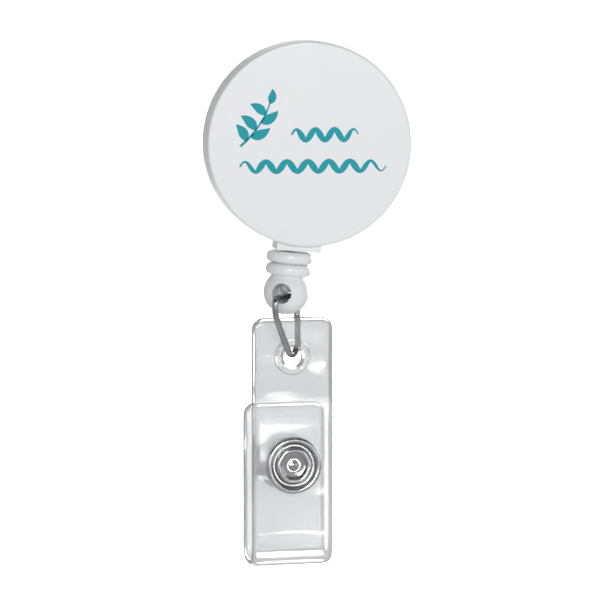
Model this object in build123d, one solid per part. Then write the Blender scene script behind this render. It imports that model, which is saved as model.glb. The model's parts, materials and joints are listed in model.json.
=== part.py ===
from build123d import *

import os
from math import acos, asin, atan2, cos, degrees, pi, radians, sin, tan

# Retractable badge reel, in millimetres.
# The model is laid out about the reel's own axle (the Y axis, face towards -Y, Z up).
# At export it moves so that the origin is the inside top of the belt clip's bend,
# where the edge of a belt or pocket sits.

# Driving dimensions
reel_radius = 16.0
reel_depth = 7.0
wall = 1.2
reel_lean = 5.5             # the reel hangs turned this many degrees about its axle
edge_round = 0.4

cord_diameter = 0.8
cord_layers = 3
cord_turns_per_layer = 3

bead_radius = 3.6
ball_radius = 3.55
cross_hole_radius = 1.575
cross_hole_turn = 21.0      # the bead's cross hole is turned this far left of the face's normal

wire_radius = 0.5
ring_turn = 32.0            # and the wire ring this far
ring_half_width = 4.15
ring_height = 9.35
ring_bend_radius = 1.9
ring_shoulder = 2.6         # the front leg starts to slant this far under the bar
ring_butt = 0.15            # half the gap between the wire's ends
bar_bend_radius = 0.9
shoulder_bend_radius = 3.0

strap_turn = 8.0            # the strap's face is turned this far to the right
strap_width = 13.1
strap_thickness = 1.2
strap_height = 39.6
strap_pitch = 5.0           # from the middle of one leg to the middle of the other
back_leg_drop = 13.9
snap_drop = 23.3
snap_radius = 4.5
eyelet_hole = 1.65          # radii of the holes the fastener goes through
cap_hole = 1.35

clip_width = 10.0
clip_strip = 0.5
belt_gap = 5.0

# Worked-out places in the reel
running_gap = 0.05          # between parts that turn on each other
face_y = -reel_depth / 2
back_y = reel_depth / 2
inner_face_y = face_y + wall
inner_back_y = back_y - wall
parting_y = 1.9             # front and rear case halves meet here
case_inner_radius = reel_radius - wall
spigot_front_y = 1.0        # the rear case's spigot reaches into the cup to here
spigot_wall = 0.87
spigot_radius = case_inner_radius - 0.03

hub_radius = 9.5
spring_room_radius = 7.0
flange_radius = 13.5
flange = 0.6
spool_front_y = -2.1
spool_back_y = 2.1
web_back_y = -1.3
collar_radius = 3.2         # a low collar on the web keeps the spring off it
collar_height = 0.4
post_radius = 2.4
post_bore_radius = 1.6
post_floor_y = inner_back_y - 0.2
rivet_radius = 1.0
cover_front_y = 1.4         # seat of the disc that closes the spring's room
cover_back_y = 1.9
cover_lip = 0.6
cover_gap = 0.02
spring_turns = 11
spring_strip = 0.15
spring_half_width = 1.0
spring_middle_y = 0.3
spring_start = post_radius + 0.2
spring_gap = 0.1            # between the coil and the room it lies in
spring_slot_half = 0.2      # the slots that hold the spring's ends
spring_tang_end = 8.5
anchor_z = 8.25             # middle of the cord's knot in the hub
anchor_y = -1.15
anchor_radius = 0.85
anchor_pocket = 0.95
anchor_floor_y = -0.2
anchor_slot_half = 0.45
anchor_slot_floor_y = -0.65

cord_radius = cord_diameter / 2
layer_step = 0.78
first_layer = hub_radius + cord_radius + 0.02
last_layer = first_layer + layer_step * (cord_layers - 1)
turn_step = 0.95
take_off_radius = last_layer + cord_diameter + 0.02

exit_x = -1.0               # the cord leaves a little left of the boss's middle
boss_width = 7.0
boss_end = 16.8             # from the reel's axis
boss_front_y = face_y + 1.0
boss_back_y = back_y - 0.6
nozzle_end = 16.95
nozzle_radius = 1.3
mouth_end = 14.6            # where the cord turns into the nozzle
mouth_bend = 1.2
mouth_depth = 0.9           # its edge is opened out like a funnel
mouth_wide = 1.5
mouth_narrow = 0.78
wrap_shown = 60.0           # degrees of the drum that the inner run goes round

ring_one_top = 17.05        # the bead's first ring, from the reel's axis
bead_ring_height = 1.85
bead_pitch = 1.93
bead_shrink = 0.05          # the second ring is this much smaller
bead_roundness = 0.9        # share of a ring's half height that is rounded
ball_drop = 23.45
cord_bore_radius = 0.48
knot_radius = 0.9
knot_rise = 0.72            # the knot sits in the cross hole, this far above the ball's middle
knot_drop = ball_drop - knot_rise
neck_radius = 2.6
neck_sink = 0.6             # how far the neck stops under the first ring's top

# Worked-out places below the reel
lean = Rot(0, reel_lean, 0)
ball_centre = (lean * Pos(exit_x, 0, -ball_drop)).position
cross_axis = Vector(-sin(radians(cross_hole_turn)), -cos(radians(cross_hole_turn)), 0)
ring_axis = Vector(-sin(radians(ring_turn)), -cos(radians(ring_turn)), 0)
bar_drop = 0.76             # the wire's bar lies this far under the ball's middle
bar_centre = ball_centre - Vector(0, 0, bar_drop)
bend_offset = ring_half_width - ring_bend_radius
pivot = bar_centre - ring_axis * bend_offset - Vector(0, 0, ring_height)

ring_plane = Plane(
    origin=bar_centre,
    x_dir=ring_axis,
    z_dir=ring_axis.cross(Vector(0, 0, 1)),
)
strap_plane = Plane(
    origin=pivot,
    x_dir=(cos(radians(strap_turn)), sin(radians(strap_turn)), 0),
    z_dir=(0, 0, 1),
)

# places along the strap, measured from the pivot (the wire's lowest point)
hole_radius = 1.55
hole_z = -0.35
hole_to_top = 6.25
hole_rim = 2.85
hole_rim_height = 0.12
hole_bevel = 0.3
strap_top = hole_z + hole_to_top
fold_z = strap_top - strap_height + strap_pitch / 2 + strap_thickness / 2
back_leg_top = strap_top - back_leg_drop
snap_z = strap_top - snap_drop
strap_edge = 0.5
strap_corner = 1.9

# places of the belt clip
washer_front_y = back_y + running_gap
washer_back_y = washer_front_y + 0.3
washer_radius = 3.5
plate_y = washer_back_y + clip_strip / 2
tongue_y = plate_y + belt_gap + clip_strip
bend_y = (plate_y + tongue_y) / 2
bend_z = 9.6
tongue_lean = 10.0
tongue_length = 18.6
lip_flare = 1.9
lip_length = 3.4
clip_top_z = bend_z + belt_gap / 2 + clip_strip / 2
plate_bottom_z = -12.5
plate_corner = 2.5
lip_corner = 2.0
lip_bend = 2.0
clip_margin = 2.0           # the windows that cut the strip reach past it by this much
clip_split_y = plate_y + 1.0
head_radius = 1.8           # of the rivet
head_height = 0.7
head_round = 0.5
head_gap = 0.01
rivet_flange_radius = post_bore_radius - 0.1
flange_near_y = inner_back_y - 0.85
flange_far_y = inner_back_y - 0.25
belt_edge = Vector(0, bend_y, bend_z + belt_gap / 2)


# Helpers
def rod_y(radius, y0, y1, x=0.0, z=0.0):
    """A round bar along Y."""
    return Pos(x, (y0 + y1) / 2, z) * Rot(90, 0, 0) * Cylinder(radius, y1 - y0)


def rod_z(radius, z0, z1, x=0.0, y=0.0):
    """A round bar along Z."""
    return Pos(x, y, (z0 + z1) / 2) * Cylinder(radius, z1 - z0)


def block(x0, x1, y0, y1, z0, z1):
    """A box between two corners."""
    middle = Pos((x0 + x1) / 2, (y0 + y1) / 2, (z0 + z1) / 2)
    return middle * Box(x1 - x0, y1 - y0, z1 - z0)


def turned(points):
    """A solid turned about Y from an outline of (radius, y) points."""
    return revolve(make_face(Polyline(*points, close=True)), axis=Axis.Y)


def round_edges(shape, radius, y):
    """Round the outermost circular edge that lies at one depth."""
    rims = [e for e in shape.edges().filter_by(GeomType.CIRCLE) if abs(e.center().Y - y) < 0.01]
    return fillet(max(rims, key=lambda e: e.radius), radius)


def write(node, shape):
    """Move a sub-part to the shared origin and write its STEP file."""
    export_step(Pos(-belt_edge) * shape, "parts/" + node + ".step")


# The reel
def boss(y0, y1):
    """The square block at the reel's foot that the cord comes out of."""
    return block(-boss_width / 2, boss_width / 2, y0, y1, -boss_end, -case_inner_radius)


def front_case():
    """The cup with the printed face, its foot boss and the cord nozzle."""
    cup = round_edges(rod_y(reel_radius, face_y, parting_y), edge_round, face_y)
    cup += boss(boss_front_y, parting_y)
    cup += rod_z(nozzle_radius, -nozzle_end, -case_inner_radius, x=exit_x)
    cup -= rod_y(case_inner_radius, inner_face_y, parting_y)
    funnel = Rot(180, 0, 0) * Cone(mouth_wide, mouth_narrow, mouth_depth)
    cup -= Pos(exit_x, 0, -mouth_end - mouth_depth / 2) * funnel
    cup -= rod_z(cord_radius + running_gap, -nozzle_end, -mouth_end, x=exit_x)
    return lean * cup


def rear_case():
    """The back plate with its spigot and the hollow post that the spool turns on."""
    plate = round_edges(rod_y(reel_radius, parting_y + running_gap, back_y), edge_round, back_y)
    plate += boss(parting_y + running_gap, boss_back_y)
    plate -= rod_y(case_inner_radius, parting_y, inner_back_y)
    spigot = rod_y(spigot_radius, spigot_front_y, inner_back_y)
    plate += spigot - rod_y(spigot_radius - spigot_wall, spigot_front_y, inner_back_y)
    plate += rod_y(post_radius, spool_front_y, inner_back_y)
    plate -= rod_y(post_bore_radius, spool_front_y, post_floor_y)
    plate -= rod_y(rivet_radius + running_gap, 0, back_y)
    half = spring_slot_half
    plate -= block(-post_radius, post_radius, spool_front_y, cover_front_y, -half, half)
    return lean * plate


def spool():
    """The flanged drum, with the spring's room inside its hub."""
    drum = rod_y(hub_radius, spool_front_y, spool_back_y)
    drum += rod_y(flange_radius, spool_front_y, spool_front_y + flange)
    drum += rod_y(flange_radius, spool_back_y - flange, spool_back_y)
    drum -= rod_y(spring_room_radius, web_back_y, spool_back_y)
    drum -= rod_y(spring_room_radius + cover_lip, cover_front_y, spool_back_y)
    drum += rod_y(collar_radius, web_back_y, web_back_y + collar_height)
    drum -= rod_y(post_radius + running_gap, spool_front_y, spool_back_y)
    slot_end = spring_tang_end + spring_slot_half
    drum -= block(0, slot_end, web_back_y, cover_front_y, -spring_slot_half, spring_slot_half)
    drum -= rod_y(anchor_pocket, spool_front_y, anchor_floor_y, z=anchor_z)
    half = anchor_slot_half
    drum -= block(-half, half, spool_front_y, anchor_slot_floor_y, anchor_z, hub_radius)
    return lean * drum


def spring_cover():
    """The thin disc that keeps the spring in the spool."""
    near = cover_front_y + cover_gap
    cover = rod_y(spring_room_radius + cover_lip - cover_gap, near, cover_back_y)
    cover -= rod_y(post_radius + running_gap, near, cover_back_y)
    return lean * cover


def power_spring():
    """The flat spiral, drawn as half circles whose centres step from side to side."""
    strip = spring_strip
    room = spring_room_radius - spring_gap - spring_start - strip
    half_step = room / (2 * spring_turns)
    outer, inner = [], []
    for half in range(2 * spring_turns):
        centre = (half_step / 2 if half % 2 else -half_step / 2, 0)
        radius = spring_start + half_step * (half + 0.5)
        first_angle = 180 if half % 2 else 0
        outer.append(CenterArc(centre, radius + strip / 2, first_angle, 180))
        inner.append(CenterArc(centre, radius - strip / 2, first_angle, 180))
    inner_end = Line(outer[0] @ 0, inner[0] @ 0)
    outer_end = Line(outer[-1] @ 1, inner[-1] @ 1)
    face = make_face(outer + inner + [inner_end, outer_end])
    coil = extrude(Plane.XZ * face, amount=spring_half_width, both=True)
    near, far = -spring_half_width, spring_half_width
    inner_tang = block(-post_radius, (inner[0] @ 0).X + strip, near, far, -strip / 2, strip / 2)
    outer_tang = block((inner[-1] @ 1).X, spring_tang_end, near, far, -strip / 2, strip / 2)
    return lean * Pos(0, spring_middle_y, 0) * (coil + inner_tang + outer_tang)


def cord_winding():
    """The cord's turns on the drum, one closed body with a bump for each turn."""
    half_width = turn_step * (cord_turns_per_layer - 1) / 2
    core = Pos((first_layer + last_layer) / 2, 0)
    core *= Rectangle(last_layer - first_layer + cord_radius, 2 * half_width)
    for layer in range(cord_layers):
        for turn in range(cord_turns_per_layer):
            place = Pos(first_layer + layer * layer_step, turn * turn_step - half_width)
            core += place * Circle(cord_radius)
    return lean * revolve(core, axis=Axis.Y)


def tube_along(path, radius):
    """A round solid that follows a path."""
    return sweep(Plane(origin=path @ 0, z_dir=path % 0) * Circle(radius), path=path)


def cord_inner_run():
    """From the winding to the nozzle: round the drum, straight, then bent into the hole."""
    towards = degrees(atan2(-mouth_end, exit_x))
    take_off = towards + degrees(acos(take_off_radius / Vector(exit_x, mouth_end).length))
    wrap = CenterArc((0, 0), take_off_radius, take_off + wrap_shown, -wrap_shown)
    tangent_point = wrap @ 1
    rest = FilletPolyline(
        (tangent_point.X, tangent_point.Y),
        (exit_x, -mouth_end),
        (exit_x, -nozzle_end),
        radius=mouth_bend,
    )
    path = Wire((Plane.XZ * (wrap + rest)).edges())
    return lean * tube_along(path, cord_radius)


def cord_outer_run():
    """The cord's free end, from the nozzle to the knot in the bead."""
    run = rod_z(cord_radius, -knot_drop + knot_radius, -nozzle_end - running_gap, x=exit_x)
    return lean * run


def cord_spool_knot():
    """The knot that ties the cord into the drum."""
    return lean * Pos(0, anchor_y, anchor_z) * Sphere(anchor_radius)


def cord_end_knot():
    """The knot that the bead hangs on."""
    return lean * Pos(exit_x, 0, -knot_drop) * Sphere(knot_radius)


# Bead and ring
def bead_ring(top, radius):
    """One rounded ring of the bead."""
    half = bead_ring_height / 2
    ring = rod_z(radius, -top - bead_ring_height, -top, x=exit_x)
    rims = ring.edges().filter_by(GeomType.CIRCLE)
    return fillet(rims, half * bead_roundness)


def cord_bead():
    """Two rings and a ball with a hole across it for the wire ring."""
    bead = Pos(exit_x, 0, -ball_drop) * Sphere(ball_radius)
    bead += bead_ring(ring_one_top, bead_radius)
    bead += bead_ring(ring_one_top + bead_pitch, bead_radius - bead_shrink)
    bead += rod_z(neck_radius, -ball_drop, -ring_one_top - neck_sink, x=exit_x)
    bead -= rod_z(cord_bore_radius, -ball_drop, -ring_one_top, x=exit_x)
    bead = lean * bead
    cross = Plane(origin=ball_centre, z_dir=cross_axis) * Cylinder(cross_hole_radius, 3 * ball_radius)
    return bead - cross


def wire_ring():
    """The bent wire loop; its ends butt together inside the ball."""
    half_width = ring_half_width
    bend = Vector(-bend_offset, -ring_height + ring_bend_radius)
    reach = bend - Vector(half_width, -ring_shoulder)
    slant = atan2(reach.Y, reach.X) + asin(ring_bend_radius / reach.length)
    foot = -ring_shoulder - 2 * half_width * tan(slant)
    path = FilletPolyline(
        (ring_butt, 0),
        (half_width, 0),
        (half_width, -ring_shoulder),
        (-half_width, foot),
        (-half_width, 0),
        (-ring_butt, 0),
        radius=[bar_bend_radius, shoulder_bend_radius, ring_bend_radius, bar_bend_radius],
    )
    return tube_along(Wire((ring_plane * path).edges()), wire_radius)


# Strap
def leg(y, bottom, top, hole_height, radius):
    """One flat leg of the strap, rounded at the top, with one round hole."""
    half = strap_width / 2
    plate = block(-half, half, y - strap_thickness / 2, y + strap_thickness / 2, bottom, top)
    corners = plate.edges().filter_by(Axis.Y).sort_by(Axis.Z)[-2:]
    plate = fillet(corners, strap_corner)
    soft = [e for e in plate.edges() if abs(e.center().Y - y) > 0.1 and e.center().Z > bottom + 0.01]
    plate = fillet(soft, strap_edge)
    return plate - rod_y(radius, y - strap_thickness, y + strap_thickness, z=hole_height)


def strap_front_leg():
    """The long leg, with the ring's hole and the snap's hole."""
    plate = leg(0, fold_z, strap_top, snap_z, eyelet_hole)
    reach = strap_thickness / 2 + hole_rim_height
    rim = rod_y(hole_rim, -reach, reach, z=hole_z) - rod_y(hole_radius, -reach, reach, z=hole_z)
    plate -= rod_y(hole_rim, -reach, reach, z=hole_z)
    return strap_plane * (plate + chamfer(rim.edges().filter_by(GeomType.CIRCLE), hole_bevel))


def strap_back_leg():
    """The short leg behind it."""
    return strap_plane * leg(strap_pitch, fold_z, back_leg_top, snap_z, cap_hole)


def strap_fold():
    """The bend at the foot that joins the legs."""
    section = RectangleRounded(strap_width, strap_thickness, strap_edge)
    axis = Axis((0, strap_pitch / 2, 0), (1, 0, 0))
    bend = revolve(Plane.XY * section, axis=axis, revolution_arc=180)
    return strap_plane * Pos(0, 0, fold_z) * bend


# Snap fastener
def at_snap(shape):
    """Put a snap part, turned about the strap's Y axis, on the snap's centre."""
    return strap_plane * Pos(0, 0, snap_z) * shape


def snap_eyelet():
    """The rolled rim on the front, with the tube that goes through the front leg."""
    face = -strap_thickness / 2 - hole_rim_height / 6
    outline = [
        (1.3, 0.95), (1.3, -1.0), (2.1, -1.25), (2.1, -1.55), (2.7, -1.55), (2.9, -1.1),
        (3.5, -1.05), (3.8, -1.4), (4.2, -1.4), (snap_radius, -1.1), (snap_radius, face),
        (1.6, face), (1.6, 0.95),
    ]
    return at_snap(turned(outline))


def snap_stud():
    """The stud behind the front leg."""
    outline = [
        (0.9, 0.97), (1.62, 0.97), (1.62, 0.63), (3.4, 0.63), (3.4, 1.0), (1.5, 1.15),
        (1.5, 2.2), (1.65, 2.5), (1.65, 2.9), (1.4, 3.2), (0.9, 3.2),
    ]
    return at_snap(turned(outline))


def snap_socket():
    """The socket on the back leg that the stud presses into."""
    near = 1.6
    far = strap_pitch - strap_thickness / 2 - 0.02
    outline = [
        (1.78, near), (3.7, near), (snap_radius - 0.3, near + 0.5), (snap_radius - 0.3, far),
        (1.33, far), (1.33, far - 0.6), (2.6, far - 0.6), (2.6, near + 0.5), (1.78, near + 0.5),
    ]
    return at_snap(turned(outline))


def snap_socket_spring():
    """The split wire ring inside the socket that grips the stud's neck."""
    wire = 0.15
    coil = revolve(Pos(1.72 + wire, 0) * Circle(wire), axis=Axis.Y, revolution_arc=320)
    return at_snap(Pos(0, 2.32, 0) * coil)


def snap_cap():
    """The domed cap on the back, with the post that holds the socket."""
    near = strap_pitch + strap_thickness / 2 + 0.02
    outline = [
        (0.7, 3.9), (1.3, 3.9), (1.3, near), (snap_radius, near), (snap_radius, near + 0.25),
        (3.9, near + 0.6), (2.6, near + 0.85), (0.7, near + 0.95),
    ]
    cap = turned(outline) + rod_y(0.8, near + 0.35, near + 0.95)
    return at_snap(cap)


# Belt clip
def clip_whole():
    """The whole bent strip: plate, bend, leaning tongue and flared lip."""
    plate = Line((plate_y, plate_bottom_z), (plate_y, bend_z))
    bend = CenterArc((bend_y, bend_z), (belt_gap + clip_strip) / 2, 180, -180 - tongue_lean)
    along = Vector(-sin(radians(tongue_lean)), -cos(radians(tongue_lean)))
    throat = bend @ 1 + along * tongue_length
    lip = throat + Vector(lip_flare, -lip_length)
    tongue = FilletPolyline(
        ((bend @ 1).X, (bend @ 1).Y),
        (throat.X, throat.Y),
        (lip.X, lip.Y),
        radius=lip_bend,
    )
    path = Wire((Plane.YZ * (plate + bend + tongue)).edges())
    start = Plane(origin=path @ 0, x_dir=(1, 0, 0), z_dir=path % 0)
    return sweep(start * Rectangle(clip_width, clip_strip), path=path)


def clip_strip_part(y0, y1, z0, z1):
    """The piece of the strip that lies in one window."""
    return clip_whole() & block(-clip_width, clip_width, y0, y1, z0, z1)


def clip_plate():
    """The flat half that is riveted to the reel."""
    plate = clip_strip_part(0, clip_split_y, plate_bottom_z - clip_margin, bend_z)
    low = plate.edges().filter_by(Axis.Y).sort_by(Axis.Z)[:2]
    plate = fillet(low, plate_corner)
    return plate - rod_y(rivet_radius, plate_y - clip_strip, plate_y + clip_strip)


def clip_bend():
    """The bend that sits on the belt's edge."""
    return clip_strip_part(0, tongue_y + clip_margin, bend_z, clip_top_z + clip_margin)


def clip_tongue():
    """The springy tongue that goes behind the belt, with its flared lip."""
    low_z = plate_bottom_z - clip_margin
    tongue = clip_strip_part(clip_split_y, tongue_y + clip_margin, low_z, bend_z)
    low = tongue.edges().filter_by(lambda e: abs(e.length - clip_strip) < 0.01).sort_by(Axis.Z)[:2]
    return fillet(low, lip_corner)


def clip_rivet():
    """The rivet that the reel turns on."""
    rivet = rod_y(rivet_radius, flange_far_y, plate_y + clip_strip)
    rivet += rod_y(rivet_flange_radius, flange_near_y, flange_far_y)
    near = plate_y + clip_strip / 2 + head_gap
    far = plate_y + clip_strip / 2 + head_height
    return rivet + round_edges(rod_y(head_radius, near, far), head_round, far)


def rivet_washer():
    """The washer between the reel's back and the clip."""
    washer = rod_y(washer_radius, washer_front_y, washer_back_y)
    return washer - rod_y(rivet_radius, washer_front_y, washer_back_y)


nodes = [
    front_case, rear_case, spool, spring_cover, power_spring,
    cord_winding, cord_inner_run, cord_outer_run, cord_spool_knot, cord_end_knot,
    cord_bead, wire_ring, strap_front_leg, strap_fold, strap_back_leg,
    snap_eyelet, snap_stud, snap_socket, snap_socket_spring, snap_cap,
    clip_plate, clip_bend, clip_tongue, clip_rivet, rivet_washer,
]

os.makedirs("parts", exist_ok=True)
for make in nodes:
    write(make.__name__, make())

print("belt edge from the reel's axis:", belt_edge)
print("bead ball:", ball_centre - belt_edge)
print("ring bar:", bar_centre - belt_edge)
print("ring axis:", ring_axis)
print("wire's lowest point:", pivot - belt_edge)
print("mean winding radius:", (first_layer + last_layer) / 2)
wound = 2 * pi * (first_layer + last_layer) / 2 * cord_layers * cord_turns_per_layer
print("cord on the drum:", wound)
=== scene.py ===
import json
import math
import bpy
import bmesh
import numpy as np
from mathutils import Matrix, Vector


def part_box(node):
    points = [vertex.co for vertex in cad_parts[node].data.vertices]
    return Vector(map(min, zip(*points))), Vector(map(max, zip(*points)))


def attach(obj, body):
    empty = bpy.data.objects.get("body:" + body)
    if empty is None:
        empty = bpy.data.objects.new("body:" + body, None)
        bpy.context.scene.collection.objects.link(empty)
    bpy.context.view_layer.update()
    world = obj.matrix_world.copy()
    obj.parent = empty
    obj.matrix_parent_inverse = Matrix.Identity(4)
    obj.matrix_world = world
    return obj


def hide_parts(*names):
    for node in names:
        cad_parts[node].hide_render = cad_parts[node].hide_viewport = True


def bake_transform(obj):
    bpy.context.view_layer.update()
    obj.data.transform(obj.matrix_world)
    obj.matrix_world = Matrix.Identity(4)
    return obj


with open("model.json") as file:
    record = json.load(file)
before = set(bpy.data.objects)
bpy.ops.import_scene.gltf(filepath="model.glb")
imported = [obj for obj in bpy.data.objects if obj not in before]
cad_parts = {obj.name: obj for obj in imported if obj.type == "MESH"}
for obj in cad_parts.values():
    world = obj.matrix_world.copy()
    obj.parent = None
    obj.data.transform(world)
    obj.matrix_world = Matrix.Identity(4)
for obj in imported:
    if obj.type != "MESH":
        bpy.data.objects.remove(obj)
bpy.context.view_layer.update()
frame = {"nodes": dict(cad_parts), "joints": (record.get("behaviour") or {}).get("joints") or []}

mm = 0.001
joints = {j["name"]: j for j in frame["joints"]}


def place(name):      # where a joint sits
    return Vector(joints[name]["pos_m"])


def axis(name):       # and which way it points
    return Vector(joints[name]["axis"]).normalized()


def middle(node):
    low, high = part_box(node)
    return (low + high) / 2


def frameOf(origin, right, back):
    # a matrix whose columns are right, back and up, standing at origin
    rows = Matrix((right, back, right.cross(back))).transposed().to_4x4()
    return Matrix.Translation(origin) @ rows


def faceMiddle():     # the middle of the printed face
    centre = place("reel_swivel")
    return Vector((centre.x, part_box("front_case")[0].y, centre.z))


# the reel's own frame leans with it; the strap's frame is turned about the vertical
exitWay = axis("cord_pull")
reelBack = axis("reel_swivel")
reelFrame = frameOf(place("reel_swivel"), reelBack.cross(-exitWay), reelBack)
strapFrame = frameOf(place("strap_swing"), -axis("strap_flap"), axis("strap_swing"))
print("frame loaded:", len(frame["nodes"]), "nodes")


camera = {
    "azimuth": -8.0,          # to the object's left
    "elevation": 5.5,
    "distance": 0.75,
    "frameWidth": 93.1 * mm,  # how much of the object's plane the picture holds
    "aimRight": -1.55 * mm,   # the picture's middle, from the middle of the face
    "aimUp": -24.13 * mm,
    "sensor": 36,
    "clip": (0.05, 40),
}


def makeCamera(c):
    a, e = math.radians(c["azimuth"]), math.radians(c["elevation"])
    back = Vector((math.sin(a) * math.cos(e), -math.cos(a) * math.cos(e), math.sin(e)))
    right = Vector((math.cos(a), math.sin(a), 0))
    over = right.cross(-back)
    aim = faceMiddle() + right * c["aimRight"] + over * c["aimUp"]
    data = bpy.data.cameras.new("camera")
    data.sensor_width = c["sensor"]
    data.lens = data.sensor_width * c["distance"] / c["frameWidth"]
    data.clip_start, data.clip_end = c["clip"]
    cam = bpy.data.objects.new("camera", data)
    cam.location = aim + back * c["distance"]
    cam.rotation_mode = "QUATERNION"
    cam.rotation_quaternion = (-back).to_track_quat("-Z", "Y")
    bpy.context.scene.collection.objects.link(cam)
    bpy.context.scene.camera = cam


beyond = (0.44, 0.44, 0.445, 1)  # past the stage, as pale as the floor far off
softboxes = {                    # name: (place, size, power); all aim at the wire ring
    "frontRight": ((0.06, -0.84, 0.16), (0.24, 0.24), 2.50),
    "frontLeft": ((-0.14, -0.84, 0.00), (0.12, 0.26), 0.72),
    "topStrip": ((0.00, -0.04, 0.40), (0.30, 0.08), 0.05),
    "sideRight": ((0.42, -0.20, 0.04), (0.03, 0.34), 0.16),
    "beadGlint": ((0.24, -0.70, 0.02), (0.02, 0.06), 0.07),
    "vinylGlint": ((0.27, -0.66, -0.165), (0.05, 0.03), 0.07),
    "backRight": ((0.50, 0.62, 0.05), (0.30, 0.40), 2.2),
    "backLow": ((0.02, 0.62, -0.42), (0.36, 0.30), 1.5),
}


def makeLights(boxes):
    aim = place("ring_swing")
    for name, (spot, size, power) in boxes.items():
        data = bpy.data.lights.new(name, "AREA")
        data.shape = "RECTANGLE"
        data.size, data.size_y = size
        data.energy = power
        lamp = bpy.data.objects.new(name, data)
        lamp.location = spot
        lamp.rotation_euler = (aim - Vector(spot)).to_track_quat("-Z", "Y").to_euler()
        bpy.context.scene.collection.objects.link(lamp)
    world = bpy.data.worlds.new("studio")
    world.use_nodes = True
    background = world.node_tree.nodes["Background"]
    background.inputs["Color"].default_value = beyond
    background.inputs["Strength"].default_value = 1.0
    bpy.context.scene.world = world


class Sock:
    # one output of a node; sums on it add Math nodes
    def __init__(self, shop, out):
        self.shop = shop
        self.out = out

    def sum(self, operation, first, second):
        return self.shop.add("ShaderNodeMath", {"operation": operation}, {0: first, 1: second})

    def __add__(self, other):
        return self.sum("ADD", self, other)

    def __radd__(self, other):
        return self.sum("ADD", other, self)

    def __sub__(self, other):
        return self.sum("SUBTRACT", self, other)

    def __rsub__(self, other):
        return self.sum("SUBTRACT", other, self)

    def __mul__(self, other):
        return self.sum("MULTIPLY", self, other)

    def __rmul__(self, other):
        return self.sum("MULTIPLY", other, self)

    def __getitem__(self, name):
        return Sock(self.shop, self.out.node.outputs[name])


class Shop:
    # where nodes are added to one tree
    def __init__(self, tree):
        self.tree = tree

    def add(self, kind, settings=None, sockets=None):
        node = self.tree.nodes.new(kind)
        for name, value in (settings or {}).items():
            setattr(node, name, value)
        for key, value in (sockets or {}).items():
            if isinstance(value, Sock):
                self.tree.links.new(value.out, node.inputs[key])
            else:
                node.inputs[key].default_value = value
        return Sock(self, node.outputs[0]) if node.outputs else node


def material(name, constants, varying=None):
    # constants go on the shader's own sockets; varying(shop, where) gives what changes over the surface
    mat = bpy.data.materials.new(name)
    mat.use_nodes = True
    shop = Shop(mat.node_tree)
    shader = mat.node_tree.nodes["Principled BSDF"]
    for key, value in constants.items():
        shader.inputs[key].default_value = value
    if varying:
        where = shop.add("ShaderNodeTexCoord")["Object"]
        for key, value in varying(shop, where).items():
            mat.node_tree.links.new(value.out, shader.inputs[key])
    return mat


def noise(shop, where, scale, detail=3.0, rough=0.5):
    sockets = {"Vector": where, "Scale": scale, "Detail": detail, "Roughness": rough}
    return shop.add("ShaderNodeTexNoise", {}, sockets)


def bump(shop, height, strength, distance, normal=None):
    sockets = {"Height": height, "Strength": strength, "Distance": distance}
    if normal:
        sockets["Normal"] = normal
    return shop.add("ShaderNodeBump", {}, sockets)


def clamped(shop, value):
    return shop.add("ShaderNodeClamp", {}, {0: value})


def blendColours(shop, factor, one, two):
    node = shop.add("ShaderNodeMix", {"data_type": "RGBA"}, {0: factor, 6: one, 7: two})
    return Sock(shop, node.out.node.outputs[2])


def mouldedSkin(tone, dirt, gloss, grain):
    def varying(shop, where):
        cloud = noise(shop, where, 90.0, 2.0)
        fine = noise(shop, where, grain, 4.0, 0.6)
        ripple = noise(shop, where, 260.0, 2.0)
        skin = bump(shop, ripple, 0.25, 0.00006)
        return {
            "Base Color": blendColours(shop, cloud * 0.5, tone, dirt),
            "Roughness": gloss + fine * 0.10,
            "Normal": bump(shop, fine, 0.35, 0.000012, skin),
        }
    return varying


def platedSkin(tone, tarnish, gloss, scratch):
    def varying(shop, where):
        cloud = noise(shop, where, 420.0, 3.0)
        long = shop.add("ShaderNodeVectorMath", {"operation": "MULTIPLY"}, {0: where, 1: (1.0, 1.0, 0.08)})
        lines = noise(shop, long, scratch, 4.0, 0.7)
        return {
            "Base Color": blendColours(shop, cloud * 0.6, tone, tarnish),
            "Roughness": gloss + lines * 0.08,
            "Normal": bump(shop, lines, 0.25, 0.000006),
        }
    return varying


def vinylSkin(shop, where):
    # soft bands across the strap and a fine grain, and a tint painted darker where the front leg stands
    # alone and lighter where the two legs overlap: painted shade and painted light
    squeezed = shop.add("ShaderNodeVectorMath", {"operation": "MULTIPLY"}, {0: where, 1: (0.30, 1.0, 1.0)})
    wave = noise(shop, squeezed, 130.0, 1.0)
    grain = noise(shop, where, 1800.0, 2.0)
    soft = bump(shop, wave, 1.0, 0.0007)
    split = shop.add("ShaderNodeSeparateXYZ", {}, {0: where})
    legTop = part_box("strap_back_leg")[1].z
    paintedShadeMask = clamped(shop, (split["Z"] - legTop) * 700.0)       # 1 where the front leg is alone
    # painted light: the lighter tint where the legs overlap; painted shade: the darker tint where the
    # front leg is alone
    paintedLightTint = blendColours(shop, wave, (0.96, 0.965, 0.97, 1), (0.88, 0.885, 0.89, 1))
    paintedShadeTint = blendColours(shop, wave, (0.69, 0.695, 0.70, 1), (0.57, 0.575, 0.58, 1))
    return {
        "Base Color": blendColours(shop, paintedShadeMask, paintedLightTint, paintedShadeTint),
        "Roughness": 0.05 + grain * 0.05,
        "Normal": bump(shop, grain, 0.3, 0.000006, soft),
    }


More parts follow.
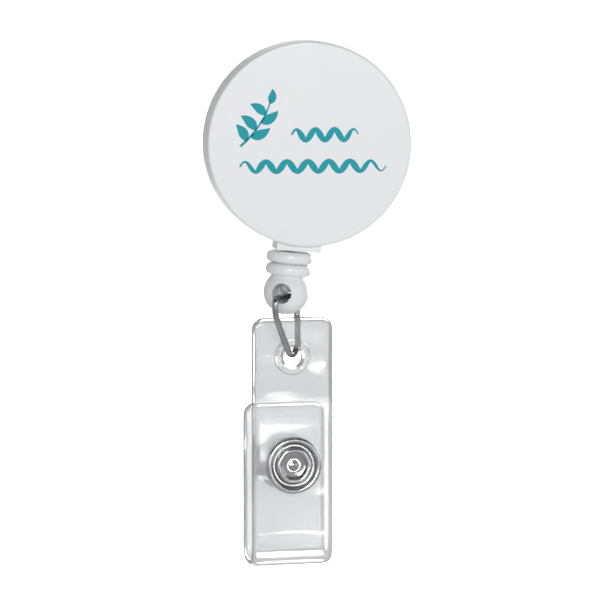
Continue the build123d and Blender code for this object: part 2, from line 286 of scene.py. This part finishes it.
def braidSkin(shop, where):
    turn = shop.add("ShaderNodeMapping", {}, {"Vector": where, "Rotation": (0.6, 0.8, 0.5)})
    checks = shop.add("ShaderNodeTexChecker", {}, {"Vector": turn, "Scale": 3600.0})
    weave = checks["Fac"]
    fuzz = noise(shop, where, 9000.0, 2.0)
    return {
        "Base Color": blendColours(shop, weave * 0.6, (0.84, 0.84, 0.83, 1), (0.66, 0.66, 0.65, 1)),
        "Roughness": 0.62 + fuzz * 0.2,
        "Normal": bump(shop, weave + fuzz * 0.4, 0.5, 0.00003),
    }


def plastic(name, ior, tone, dirt, gloss, grain):
    return material(name, {"IOR": ior}, mouldedSkin((*tone, 1), (*dirt, 1), gloss, grain))


def metal(name, tone, tarnish, gloss, scratch):
    return material(name, {"Metallic": 1.0}, platedSkin((*tone, 1), (*tarnish, 1), gloss, scratch))


casePlastic = plastic("satinWhiteCase", 1.49, (0.80, 0.81, 0.82), (0.78, 0.79, 0.80), 0.24, 2600.0)
beadPlastic = plastic("satinWhiteBead", 1.49, (0.80, 0.81, 0.82), (0.77, 0.78, 0.79), 0.17, 2600.0)
spoolPlastic = plastic("naturalNylon", 1.5, (0.74, 0.73, 0.69), (0.70, 0.69, 0.64), 0.45, 1800.0)
nickel = metal("polishedNickel", (0.52, 0.52, 0.525), (0.38, 0.38, 0.38), 0.07, 900.0)
ringNickel = metal("ringNickel", (0.40, 0.40, 0.405), (0.29, 0.29, 0.29), 0.08, 1400.0)
clipSteel = metal("platedClipSteel", (0.66, 0.67, 0.68), (0.55, 0.56, 0.57), 0.20, 1100.0)
springSteel = metal("bluedSpring", (0.30, 0.33, 0.40), (0.22, 0.24, 0.28), 0.28, 1500.0)
snapBrass = metal("brassWire", (0.72, 0.55, 0.26), (0.60, 0.44, 0.20), 0.20, 1500.0)
clearVinyl = material("clearVinyl", {"Transmission Weight": 0.72, "IOR": 1.45}, vinylSkin)
cordBraid = material("whiteBraid", {}, braidSkin)
tealInk = plastic("tealInk", 1.35, (0.004, 0.34, 0.39), (0.003, 0.31, 0.36), 0.5, 5000.0)


def roomSkin(shop, where):
    # grey all round, and white in the part behind the object
    split = shop.add("ShaderNodeSeparateXYZ", {}, {"Vector": where})
    sideways = split["X"] + split["Y"] * math.tan(math.radians(camera["azimuth"]))
    aside = shop.add("ShaderNodeMath", {"operation": "ABSOLUTE"}, {0: sideways})
    lit = clamped(shop, (1.15 - aside) * 4.0) * clamped(shop, split["Y"] - 2.6)
    return {
        "Emission Color": blendColours(shop, lit, (0.21, 0.21, 0.215, 1), (1.0, 1.0, 1.0, 1)),
        "Roughness": 0.8 + noise(shop, where, 3.0) * 0.15,
    }


roomPaint = material("studioRoom", {
    "Base Color": (0.86, 0.86, 0.86, 1), "Emission Strength": 1.0,
}, roomSkin)
topPaint = material("studioTop", {
    "Base Color": (0.04, 0.04, 0.04, 1), "Roughness": 0.9,
    "Emission Color": (0.15, 0.15, 0.155, 1), "Emission Strength": 1.0,
})
print("materials made")


def asObject(name, mesh, mat, smooth=True):
    piece = bpy.data.objects.new(name, mesh)
    bpy.context.scene.collection.objects.link(piece)
    mesh.materials.clear()
    mesh.materials.append(mat)
    for polygon in mesh.polygons:
        polygon.use_smooth = smooth
    return piece


def fromLoops(name, loops, mat, capped=True):
    # a skin over rings of points, one ring after another, closed at both ends
    count = len(loops[0])
    points = [tuple(p) for loop in loops for p in loop]
    faces = []
    for i in range(len(loops) - 1):
        for j in range(count):
            a, b = i * count + j, i * count + (j + 1) % count
            faces.append((a, b, b + count, a + count))
    if capped:
        faces.append(tuple(reversed(range(count))))
        faces.append(tuple(range((len(loops) - 1) * count, len(loops) * count)))
    mesh = bpy.data.meshes.new(name)
    mesh.from_pydata(points, [], faces)
    return asObject(name, tidied(mesh), mat)


def tidied(mesh, merge=1e-7):
    work = bmesh.new()
    work.from_mesh(mesh)
    bmesh.ops.remove_doubles(work, verts=work.verts, dist=merge)
    bmesh.ops.recalc_face_normals(work, faces=work.faces)
    work.to_mesh(mesh)
    work.free()
    return mesh


def lathe(name, outline, turnFrame, mat, segments=96, shape=None):
    # outline is a closed list of (radius, depth); shape(angle, radius, depth) may change a radius
    loops = []
    for k in range(segments):
        angle = 2 * math.pi * k / segments
        ring = []
        for radius, depth in outline:
            r = shape(angle, radius, depth) if shape else radius
            ring.append(turnFrame @ Vector((r * math.cos(angle), depth, r * math.sin(angle))))
        loops.append(ring)
    count = len(outline)
    points = [tuple(p) for ring in loops for p in ring]
    faces = []
    for i in range(segments):
        for j in range(count):
            here, ahead = i * count, (i + 1) % segments * count
            up = (j + 1) % count
            faces.append((here + j, here + up, ahead + up, ahead + j))
    mesh = bpy.data.meshes.new(name)
    mesh.from_pydata(points, [], faces)
    return asObject(name, tidied(mesh), mat)


def arc(centre, radius, start, end, steps):
    points = []
    for k in range(steps + 1):
        angle = math.radians(start + (end - start) * k / steps)
        points.append((centre[0] + radius * math.cos(angle), centre[1] + radius * math.sin(angle)))
    return points


def scaled(points):
    return [(a * mm, b * mm) for a, b in points]


def finished(piece):
    # the modifiers' result as the piece's own plain mesh
    graph = bpy.context.evaluated_depsgraph_get()
    mesh = bpy.data.meshes.new_from_object(piece.evaluated_get(graph))
    piece.modifiers.clear()
    piece.data = mesh
    return piece


def cutWith(piece, tools, operation):
    for tool in tools:
        change = piece.modifiers.new("cut", "BOOLEAN")
        change.operation = operation
        change.solver = "EXACT"
        change.object = tool
    finished(piece)
    for tool in tools:
        bpy.data.objects.remove(tool)
    return piece


# the frame's own pieces that stay in view
finishes = {
    "front_case": casePlastic,
    "rear_case": casePlastic,
    "spool": spoolPlastic,
    "spring_cover": spoolPlastic,
    "power_spring": springSteel,
    "cord_winding": cordBraid,
    "cord_inner_run": cordBraid,
    "cord_outer_run": cordBraid,
    "cord_spool_knot": cordBraid,
    "cord_end_knot": cordBraid,
    "cord_bead": beadPlastic,
    "wire_ring": ringNickel,
    "snap_stud": nickel,
    "snap_socket": nickel,
    "snap_socket_spring": snapBrass,
    "snap_cap": nickel,
    "clip_plate": clipSteel,
    "clip_bend": clipSteel,
    "clip_tongue": clipSteel,
    "clip_rivet": clipSteel,
    "rivet_washer": clipSteel,
}
for node, finish in finishes.items():
    for slot in frame["nodes"][node].material_slots:
        slot.material = finish
print("frame dressed")


# clear strap, one folded strip; sizes in mm
strap = {
    "width": 13.1,
    "thickness": 1.2,
    "corner": 1.9,        # seen from the front
    "soft": 1.25,         # how far in from an edge the strap reaches its full thickness
    "rimOuter": 2.85,
    "rimHeight": 0.12,
    "holeRadius": 1.55,
    "edgeSteps": 9,
    "flatSteps": 10,
    "foldSteps": 40,
    "footCorner": 1.6,
    "blunt": 2.5,         # 2 would make the edges elliptical
    "snapHole": 1.7,
    "capHole": 1.4,
    "frontSteps": 30,
    "backSteps": 22,
    "straightFrom": 1.6,  # below the leg's top; evenly spaced from here
    "rimEdge": 0.10,
    "holeEdge": 0.3,
    "toolReach": 1.6,     # half the length of a tool that cuts a hole
}


def makeStrap(s):
    toLocal = strapFrame.inverted()
    base = strapFrame.translation.z
    topZ = (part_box("strap_front_leg")[1].z - base) / mm
    backTopZ = (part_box("strap_back_leg")[1].z - base) / mm
    hinge = (toLocal @ place("strap_flap")) / mm
    pitch = 2 * hinge.y
    foldZ = hinge.z + pitch / 2
    snapZ = (middle("snap_eyelet").z - base) / mm

    # the strap's middle line, from the front leg's top round the fold to the back leg's top
    soft = edgeSteps(s)
    falling = soft + list(np.linspace(s["straightFrom"], topZ - foldZ, s["frontSteps"]))
    line = [(0.0, topZ - d, 0.0, d) for d in falling]
    for k in range(1, s["foldSteps"]):
        a = math.pi * k / s["foldSteps"]
        line.append((pitch / 2 * (1 - math.cos(a)), foldZ - pitch / 2 * math.sin(a), a, s["width"]))
    rising = soft + list(np.linspace(s["straightFrom"], backTopZ - foldZ, s["backSteps"]))
    line += [(pitch, backTopZ - d, math.pi, d) for d in reversed(rising)]

    loops = []
    lowest = foldZ - pitch / 2
    for y, z, turn, fromEnd in line:
        loops.append([
            strapFrame @ (Vector((x, y - t * math.cos(turn), z - t * math.sin(turn))) * mm)
            for x, t in strapSection(s, fromEnd, z - lowest)
        ])
    body = fromLoops("clear_strap", loops, clearVinyl, capped=False)

    reach = s["thickness"] / 2 + s["rimHeight"]
    outer, edge = s["rimOuter"], s["rimEdge"]
    rim = [
        (0.6, -reach), (outer - edge, -reach), (outer, -reach + edge),
        (outer, reach - edge), (outer - edge, reach), (0.6, reach),
    ]
    cutWith(body, [lathe("rimTool", scaled(rim), strapFrame, clearVinyl, 72)], "UNION")
    hole, flare, long = s["holeRadius"], s["holeEdge"], s["toolReach"]
    bell = [
        (0.001, -long), (hole + 3 * flare, -long), (hole + flare, -reach), (hole, -reach + flare),
        (hole, reach - flare), (hole + flare, reach), (hole + 3 * flare, long), (0.001, long),
    ]
    atSnap = strapFrame @ Matrix.Translation((0, 0, snapZ * mm))
    tools = [lathe("holeTool", scaled(bell), strapFrame, clearVinyl, 72)]
    for name, radius, near, far in (
        ("snapHole", s["snapHole"], -1.2, 1.2),
        ("capHole", s["capHole"], pitch - 1.2, pitch + 1.2),
    ):
        bore = [(0.001, near), (radius, near), (radius, far), (0.001, far)]
        tools.append(lathe(name, scaled(bore), atSnap, clearVinyl, 48))
    cutWith(body, tools, "DIFFERENCE")
    smoothByAngle(body, 35)
    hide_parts("strap_front_leg", "strap_fold", "strap_back_leg")
    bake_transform(body)


def edgeSteps(s):
    # distances in from an edge, closest together at the edge
    count = s["edgeSteps"]
    return [s["soft"] * (1 - math.cos(math.radians(90 * k / count))) for k in range(count + 1)]


def strapSection(s, fromEnd, fromFoot):
    # across the strap: (x, half thickness) pairs, out along the front and home along the back
    half, c, soft = s["width"] / 2, s["corner"], s["soft"]
    cut = max(0.0, c - fromEnd)
    foot = s["footCorner"]
    footCut = max(0.0, foot - fromFoot - s["thickness"] / 2)
    half -= foot - math.sqrt(foot * foot - footCut * footCut)
    side = half - c + math.sqrt(c * c - cut * cut)
    edge = edgeSteps(s)
    flat = np.linspace(-side + soft, side - soft, s["flatSteps"] + 2)[1:-1]
    across = [-side + e for e in edge] + list(flat) + [side - e for e in reversed(edge)]
    front = []
    for x in across:
        if abs(x) > half - c and fromEnd < c:
            inward = c - math.hypot(abs(x) - (half - c), c - fromEnd)
        else:
            inward = min(half - abs(x), fromEnd)
        inward = min(max(inward, 0.0), soft)
        front.append((x, s["thickness"] / 2 * (1 - (1 - inward / soft) ** s["blunt"]) ** (1 / s["blunt"])))
    return front + [(x, -t) for x, t in reversed(front)]


def smoothByAngle(piece, degrees):
    # smooth faces with sharp edges where they turn by more than an angle
    mesh = piece.data
    for polygon in mesh.polygons:
        polygon.use_smooth = True
    work = bmesh.new()
    work.from_mesh(mesh)
    limit = math.radians(degrees)
    for edge in work.edges:
        if len(edge.link_faces) == 2:
            edge.smooth = edge.calc_face_angle(0) < limit
    work.to_mesh(mesh)
    work.free()


makeStrap(strap)
print("strap made")


# the snap's front ring
eyelet = {
    "crimpRadius": 2.45,
    "lobes": 6,
    "lobeDepth": 0.022,
    "segments": 144,
}


def makeEyelet(e):
    front = [(4.50, -0.66)]
    front += arc((4.02, -1.00), 0.48, 0, -180, 16)        # rolled rim
    front += [(3.46, -0.88), (3.28, -0.82), (3.02, -0.86)]
    front += arc((2.45, -1.08), 0.44, 0, -180, 16)        # crimped tube
    front += [(1.95, -0.92), (1.80, -0.84), (0.95, -0.80), (0.60, -0.82)]
    front += [(0.42, -0.92), (0.20, -0.98), (0.02, -0.99)]
    outline = scaled(front + [(0.02, 0.92), (1.30, 0.92), (1.30, -0.62), (4.40, -0.62)])

    def shape(angle, radius, depth):
        share = math.exp(-((radius / mm - e["crimpRadius"]) / 0.6) ** 2) if depth < -0.7 * mm else 0.0
        return radius * (1 + e["lobeDepth"] * share * math.cos(e["lobes"] * angle))

    atSnap = strapFrame @ Matrix.Translation((0, 0, middle("snap_eyelet").z - strapFrame.translation.z))
    ring = lathe("snap_front_ring", outline, atSnap, nickel, e["segments"], shape)
    smoothByAngle(ring, 40)
    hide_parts("snap_eyelet")
    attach(ring, "strap_front")


makeEyelet(eyelet)
print("snap made")


# what closes the ball's cross hole at the back
bead = {
    "holeTurn": 21.0,        # the ball's cross hole, left of the face's normal
    "webRadius": 1.62,
    "webFront": 1.05,        # behind the ball's middle
    "webBack": 1.50,
    "edge": 0.08,
    "wireRoom": 0.66,        # radius of the way through for the wire
    "wayLength": 3.0,
}


def makeBeadWeb(b):
    # a thin web near the back of the cross hole, with a way through for the wire
    turn = math.radians(b["holeTurn"])
    back = Vector((math.sin(turn), math.cos(turn), 0))
    atBall = frameOf(place("bead_turn"), Vector((back.y, -back.x, 0)), back)
    wireBack = axis("ring_swing") * math.copysign(1, axis("ring_swing").y)
    atBar = frameOf(place("ring_swing"), Vector((wireBack.y, -wireBack.x, 0)), wireBack)
    wide, near, far, edge = b["webRadius"], b["webFront"], b["webBack"], b["edge"]
    outline = [
        (0.0, near), (wide - edge, near), (wide, near + edge),
        (wide, far - edge), (wide - edge, far), (0.0, far),
    ]
    web = lathe("bead_web", scaled(outline), atBall, beadPlastic, 48)
    way = [(0.0, 0.0), (b["wireRoom"], 0.0), (b["wireRoom"], b["wayLength"]), (0.0, b["wayLength"])]
    cutWith(web, [lathe("way", scaled(way), atBar, beadPlastic, 32)], "DIFFERENCE")
    smoothByAngle(web, 40)
    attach(web, "bead")


makeBeadWeb(bead)
print("bead web made")


# belt clip, one bent strip
clip = {
    "width": 10.0,
    "strip": 0.5,
    "edge": 0.12,
    "plateBottom": -24.6,
    "plateCorner": 2.5,
    "bendZ": -2.5,
    "bendRadius": 2.75,
    "lean": 10.0,
    "tongue": 18.6,
    "flare": 1.9,
    "lip": 3.4,
    "lipBend": 2.0,
    "lipCorner": 2.0,
    "blend": (-2.4, -0.8),
    "bendSteps": 48,
    "tongueSteps": 24,
    "lipSteps": 12,
}


def makeClip(c):
    # stations along the strip's middle line: (y, z, heading in the YZ plane)
    line = [(-c["bendRadius"], z, 90.0) for z in stations(c["plateBottom"], c["bendZ"], c["plateCorner"])]
    for k in range(1, c["bendSteps"] + 1):
        a = 180 - (180 + c["lean"]) * k / c["bendSteps"]
        y = c["bendRadius"] * math.cos(math.radians(a))
        line.append((y, c["bendZ"] + c["bendRadius"] * math.sin(math.radians(a)), a - 90))
    down = math.radians(line[-1][2])
    y0, z0 = line[-1][:2]
    out = math.atan2(-c["lip"], c["flare"])
    turn = out - down
    back = c["lipBend"] * math.tan(turn / 2)
    length = c["tongue"] - back
    for d in np.linspace(0, length, c["tongueSteps"])[1:]:
        line.append((y0 + d * math.cos(down), z0 + d * math.sin(down), math.degrees(down)))
    y1, z1 = line[-1][:2]
    centre = (y1 - c["lipBend"] * math.sin(down), z1 + c["lipBend"] * math.cos(down))
    for k in range(1, c["lipSteps"] + 1):
        h = down + turn * k / c["lipSteps"]
        y, z = centre[0] + c["lipBend"] * math.sin(h), centre[1] - c["lipBend"] * math.cos(h)
        line.append((y, z, math.degrees(h)))
    y2, z2 = line[-1][:2]
    rest = math.hypot(c["flare"], c["lip"]) - back
    for d in reversed([rest - q for q in stations(0, rest, c["lipCorner"])[:-1]]):
        line.append((y2 + d * math.cos(out), z2 + d * math.sin(out), math.degrees(out)))

    total = [0.0]
    for (ya, za, _), (yb, zb, _) in zip(line, line[1:]):
        total.append(total[-1] + math.hypot(yb - ya, zb - za))
    loops = []
    for (y, z, heading), gone in zip(line, total):
        h = math.radians(heading)
        normal = (-math.sin(h), math.cos(h))
        half = c["width"] / 2
        for corner, far in ((c["plateCorner"], gone), (c["lipCorner"], total[-1] - gone)):
            cut = max(0.0, corner - far)
            half = min(half, c["width"] / 2 - corner + math.sqrt(max(0.0, corner ** 2 - cut ** 2)))
        loops.append([
            Vector((x, y + t * normal[0], z + t * normal[1])) * mm
            for x, t in stripSection(half, c["strip"] / 2, c["edge"])
        ])
    body = fromLoops("belt_clip_strip", loops, clipSteel)
    smoothByAngle(body, 40)
    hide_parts("clip_plate", "clip_bend", "clip_tongue")
    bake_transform(body)


def stations(low, high, corner):
    # closer together over the rounded corner at the low end
    rounded = [low + corner * (1 - math.cos(math.radians(90 * k / 9))) for k in range(9)]
    return rounded + list(np.linspace(low + corner, high, 20))


def stripSection(half, thick, edge):
    points = []
    for cx, cy, first in ((1, 1, 0), (-1, 1, 90), (-1, -1, 180), (1, -1, 270)):
        for k in range(5):
            a = math.radians(first + 90 * k / 4)
            x, y = cx * (half - edge) + edge * math.cos(a), cy * (thick - edge) + edge * math.sin(a)
            points.append((x, y))
    return points


makeClip(clip)
print("clip made")


# the cord between the nozzle and its knot
cord = {"radius": 0.4, "around": 16, "rings": 60, "inNozzle": 0.4}


def makeCord(c):
    # from inside the nozzle to the knot
    toReel = reelFrame.inverted()
    knot = toReel @ middle("cord_end_knot")
    low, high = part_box("cord_outer_run")
    near, half = (toReel @ middle("cord_outer_run")).z, (high.z - low.z) / 2
    top = near + half + c["inNozzle"] * mm
    wide = c["radius"] * mm
    angles = [2 * math.pi * q / c["around"] for q in range(c["around"])]
    ring = [(knot.x + wide * math.cos(a), wide * math.sin(a)) for a in angles]
    loops = []
    for k in range(c["rings"] + 1):
        z = top + (knot.z - top) * k / c["rings"]
        loops.append([reelFrame @ Vector((x, y, z)) for x, y in ring])
    run = fromLoops("free_cord", loops, cordBraid)
    smoothByAngle(run, 50)
    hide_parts("cord_outer_run")
    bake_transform(run)


makeCord(cord)
print("cord made")


# the wound cord, in three helical layers
winding = {
    "firstLayer": 9.92,
    "step": 0.78,
    "layers": 3,
    "turns": 2.25,
    "height": 2.1,
    "cordRadius": 0.4,
}


def helixTree():
    tree = bpy.data.node_groups.new("woundCord", "GeometryNodeTree")
    for name, kind in (("Turns", "Float"), ("Radius", "Float"), ("Height", "Float"),
                       ("Cord Radius", "Float"), ("Material", "Material")):
        tree.interface.new_socket(name, in_out="INPUT", socket_type="NodeSocket" + kind)
    tree.interface.new_socket("Geometry", in_out="OUTPUT", socket_type="NodeSocketGeometry")
    shop = Shop(tree)
    given = shop.add("NodeGroupInput")
    spiral = shop.add("GeometryNodeCurveSpiral", {}, {
        "Resolution": 96, "Rotations": given["Turns"], "Start Radius": given["Radius"],
        "End Radius": given["Radius"], "Height": given["Height"],
    })
    profile = shop.add("GeometryNodeCurvePrimitiveCircle", {}, {
        "Resolution": 14, "Radius": given["Cord Radius"],
    })
    skin = shop.add("GeometryNodeCurveToMesh", {}, {
        "Curve": spiral, "Profile Curve": profile, "Fill Caps": True,
    })
    real = shop.add("GeometryNodeRealizeInstances", {}, {"Geometry": skin})
    painted = shop.add("GeometryNodeSetMaterial", {}, {"Geometry": real, "Material": given["Material"]})
    shop.add("NodeGroupOutput", {}, {"Geometry": painted})
    return tree


def makeWinding(w):
    tree = helixTree()
    ids = {i.name: i.identifier for i in tree.interface.items_tree if i.in_out == "INPUT"}
    layers = []
    for k in range(w["layers"]):
        piece = bpy.data.objects.new("layer", bpy.data.meshes.new("layer"))
        bpy.context.scene.collection.objects.link(piece)
        change = piece.modifiers.new("helix", "NODES")
        change.node_group = tree
        change[ids["Turns"]] = w["turns"]
        change[ids["Radius"]] = (w["firstLayer"] + k * w["step"]) * mm
        change[ids["Height"]] = w["height"] * mm
        change[ids["Cord Radius"]] = w["cordRadius"] * mm
        change[ids["Material"]] = cordBraid
        finished(piece)
        # the helix stands along Z; lay it along the axle, each layer starting a third of a turn on
        laid = reelFrame @ Matrix.Rotation(math.radians(-90), 4, "X")
        turned = laid @ Matrix.Rotation(math.radians(120 * k), 4, "Z")
        piece.data.transform(turned @ Matrix.Translation((0, 0, -w["height"] * mm / 2)))
        layers.append(piece)
    whole = joined("wound_cord", layers, cordBraid)
    smoothByAngle(whole, 50)
    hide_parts("cord_winding")
    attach(whole, "spool")


def joined(name, pieces, mat):
    work = bmesh.new()
    for piece in pieces:
        work.from_mesh(piece.data)
        bpy.data.objects.remove(piece)
    bmesh.ops.recalc_face_normals(work, faces=work.faces)
    mesh = bpy.data.meshes.new(name)
    work.to_mesh(mesh)
    work.free()
    return asObject(name, mesh, mat)


makeWinding(winding)
print("cord wound")


# the power spring, its coil and its outer end
spring = {
    "turns": 11,
    "inner": 2.68,
    "outer": 6.82,
    "strip": 0.15,
    "halfWidth": 1.0,
    "middle": 0.3,
    "postReach": -2.35,
    "tangEnd": 8.45,
    "perTurn": 56,
    "edge": 0.05,
}


def makeSpring(p):
    def at(x, z, y):
        return reelFrame @ (Vector((x, p["middle"] + y, z)) * mm)

    section = stripSection(p["strip"] / 2, p["halfWidth"], p["edge"])
    count = p["turns"] * p["perTurn"]
    loops = []
    for k in range(count + 1):
        a = 2 * math.pi * k / p["perTurn"]
        radius = p["inner"] + (p["outer"] - p["inner"]) * k / count
        loops.append([at((radius + r) * math.cos(a), (radius + r) * math.sin(a), y) for r, y in section])
    coil = fromLoops("coil", loops, springSteel)

    def tang(name, x0, x1):
        loops = [[at(x, z, y) for z, y in section] for x in np.linspace(x0, x1, 8)]
        return fromLoops(name, loops, springSteel)

    body = joined("coil_spring", [coil, tang("innerTang", p["postReach"], p["inner"])], springSteel)
    end = tang("spring_outer_end", p["outer"], p["tangEnd"])
    for piece, rider in ((body, "reel"), (end, "spool")):
        smoothByAngle(piece, 40)
        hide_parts("power_spring")
        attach(piece, rider)


makeSpring(spring)
print("spring made")


# print on the face: a leafy sprig and two brush waves
emblem = {
    "lift": 0.03,
    "sunk": -0.05,
    "stem": [(-10.9, -0.2), (-9.6, 1.0), (-8.2, 2.7), (-6.9, 4.8), (-6.1, 7.0)],
    "stemHalf": 0.20,
    "leaves": [           # (foot x, foot z, length, half width, angle)
        (-10.0, 0.6, 3.0, 0.72, 110),
        (-9.3, 1.3, 3.3, 0.74, 12),
        (-8.5, 2.3, 3.2, 0.74, 125),
        (-7.7, 3.5, 3.2, 0.74, 22),
        (-7.0, 4.6, 2.9, 0.68, 132),
        (-6.3, 6.4, 2.3, 0.60, 68),
    ],
    "waves": [            # (from x, to x, middle z, height, number, half width)
        (-2.9, 7.6, 1.5, 0.85, 3.5, 0.50),
        (-11.0, 12.0, -3.4, 0.80, 7.0, 0.52),
    ],
}


def makeEmblem(e):
    face = faceMiddle()

    lift, sunk = e["lift"], e["sunk"]
    section = [         # across a stroke: (share of its half width, height)
        (-1.0, sunk), (-1.0, lift * 0.4), (-0.85, lift), (-0.1, lift), (0.0, lift * 0.75),
        (0.1, lift), (0.85, lift), (1.0, lift * 0.4), (1.0, sunk),
    ]

    def stroke(path, halves):
        loops = []
        for k, ((x, z), half) in enumerate(zip(path, halves)):
            ahead, behind = path[min(k + 1, len(path) - 1)], path[max(k - 1, 0)]
            run = math.hypot(ahead[0] - behind[0], ahead[1] - behind[1])
            nx, nz = -(ahead[1] - behind[1]) / run, (ahead[0] - behind[0]) / run
            across = [(x + nx * u * half, -h, z + nz * u * half) for u, h in section]
            loops.append([face + Vector(p) * mm for p in across])
        return fromLoops("stroke", loops, tealInk)

    pieces = []
    steps = 28
    stem = splined(e["stem"], steps)
    pieces.append(stroke(stem, [e["stemHalf"] * (1 - 0.5 * k / steps) for k in range(len(stem))]))
    for x, z, length, half, angle in e["leaves"]:
        path, halves = [], []
        for k in range(steps + 1):
            t = k / steps
            bend = math.radians(angle + 22 * (t - 0.5))
            path.append((x + length * t * math.cos(bend), z + length * t * math.sin(bend)))
            halves.append(0.03 + half * math.sin(math.pi * t ** 0.8) ** 0.9 if 0 < k < steps else 0.03)
        pieces.append(stroke(path, halves))
    for x0, x1, z, height, number, half in e["waves"]:
        path, halves = [], []
        count = int(24 * number)
        for k in range(count + 1):
            t = k / count
            path.append((x0 + (x1 - x0) * t, z + height * math.sin(2 * math.pi * number * t)))
            taper = min(1.0, 5 * t + 0.25, 4 * (1 - t) + 0.15)
            halves.append(half * taper * (0.86 + 0.14 * math.cos(4 * math.pi * number * t)))
        pieces.append(stroke(path, halves))
    ink = joined("printed_emblem", pieces, tealInk)
    smoothByAngle(ink, 30)
    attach(ink, "reel")


def splined(points, steps):
    # a smooth line through the given points
    dense = []
    ends = [points[0]] + points + [points[-1]]
    each = steps // (len(points) - 1)
    for p0, p1, p2, p3 in zip(ends, ends[1:], ends[2:], ends[3:]):
        for k in range(each):
            t = k / each
            point = []
            for a, b, c, d in zip(p0, p1, p2, p3):
                square, cube = 2 * a - 5 * b + 4 * c - d, 3 * b - a - 3 * c + d
                point.append(0.5 * (2 * b + (c - a) * t + square * t ** 2 + cube * t ** 3))
            dense.append(tuple(point))
    return dense + [points[-1]]


makeEmblem(emblem)
print("print made")

makeCamera(camera)
makeLights(softboxes)

stage = {"floor": -0.78, "radius": 7.5, "bend": 1.2, "height": 3.4, "segments": 64}


def makeStage(s):
    # a round pale room, wide enough that every view is taken inside it
    outline = [(0.01, s["floor"])]
    for k in range(13):
        a = math.radians(-90 + 90 * k / 12)
        inner = s["radius"] - s["bend"]
        outline.append((inner + s["bend"] * math.cos(a), s["floor"] + s["bend"] * (1 + math.sin(a))))
    outline.append((s["radius"], s["height"]))
    points, faces, rim = [], [], []
    count = len(outline)
    for i in range(s["segments"]):
        a = 2 * math.pi * i / s["segments"]
        points += [(r * math.cos(a), r * math.sin(a), z) for r, z in outline]
        rim.append(points[-1])
        here, ahead = i * count, (i + 1) % s["segments"] * count
        faces += [(here + j, here + j + 1, ahead + j + 1, ahead + j) for j in range(count - 1)]
    for name, corners, sides, paint in (
        ("studioRoom", points, faces, roomPaint),
        ("studioTop", rim, [tuple(range(s["segments"]))], topPaint),
    ):
        mesh = bpy.data.meshes.new(name)
        mesh.from_pydata(corners, [], sides)
        asObject(name, mesh, paint)


makeStage(stage)
bpy.context.scene.view_settings.view_transform = "Standard"
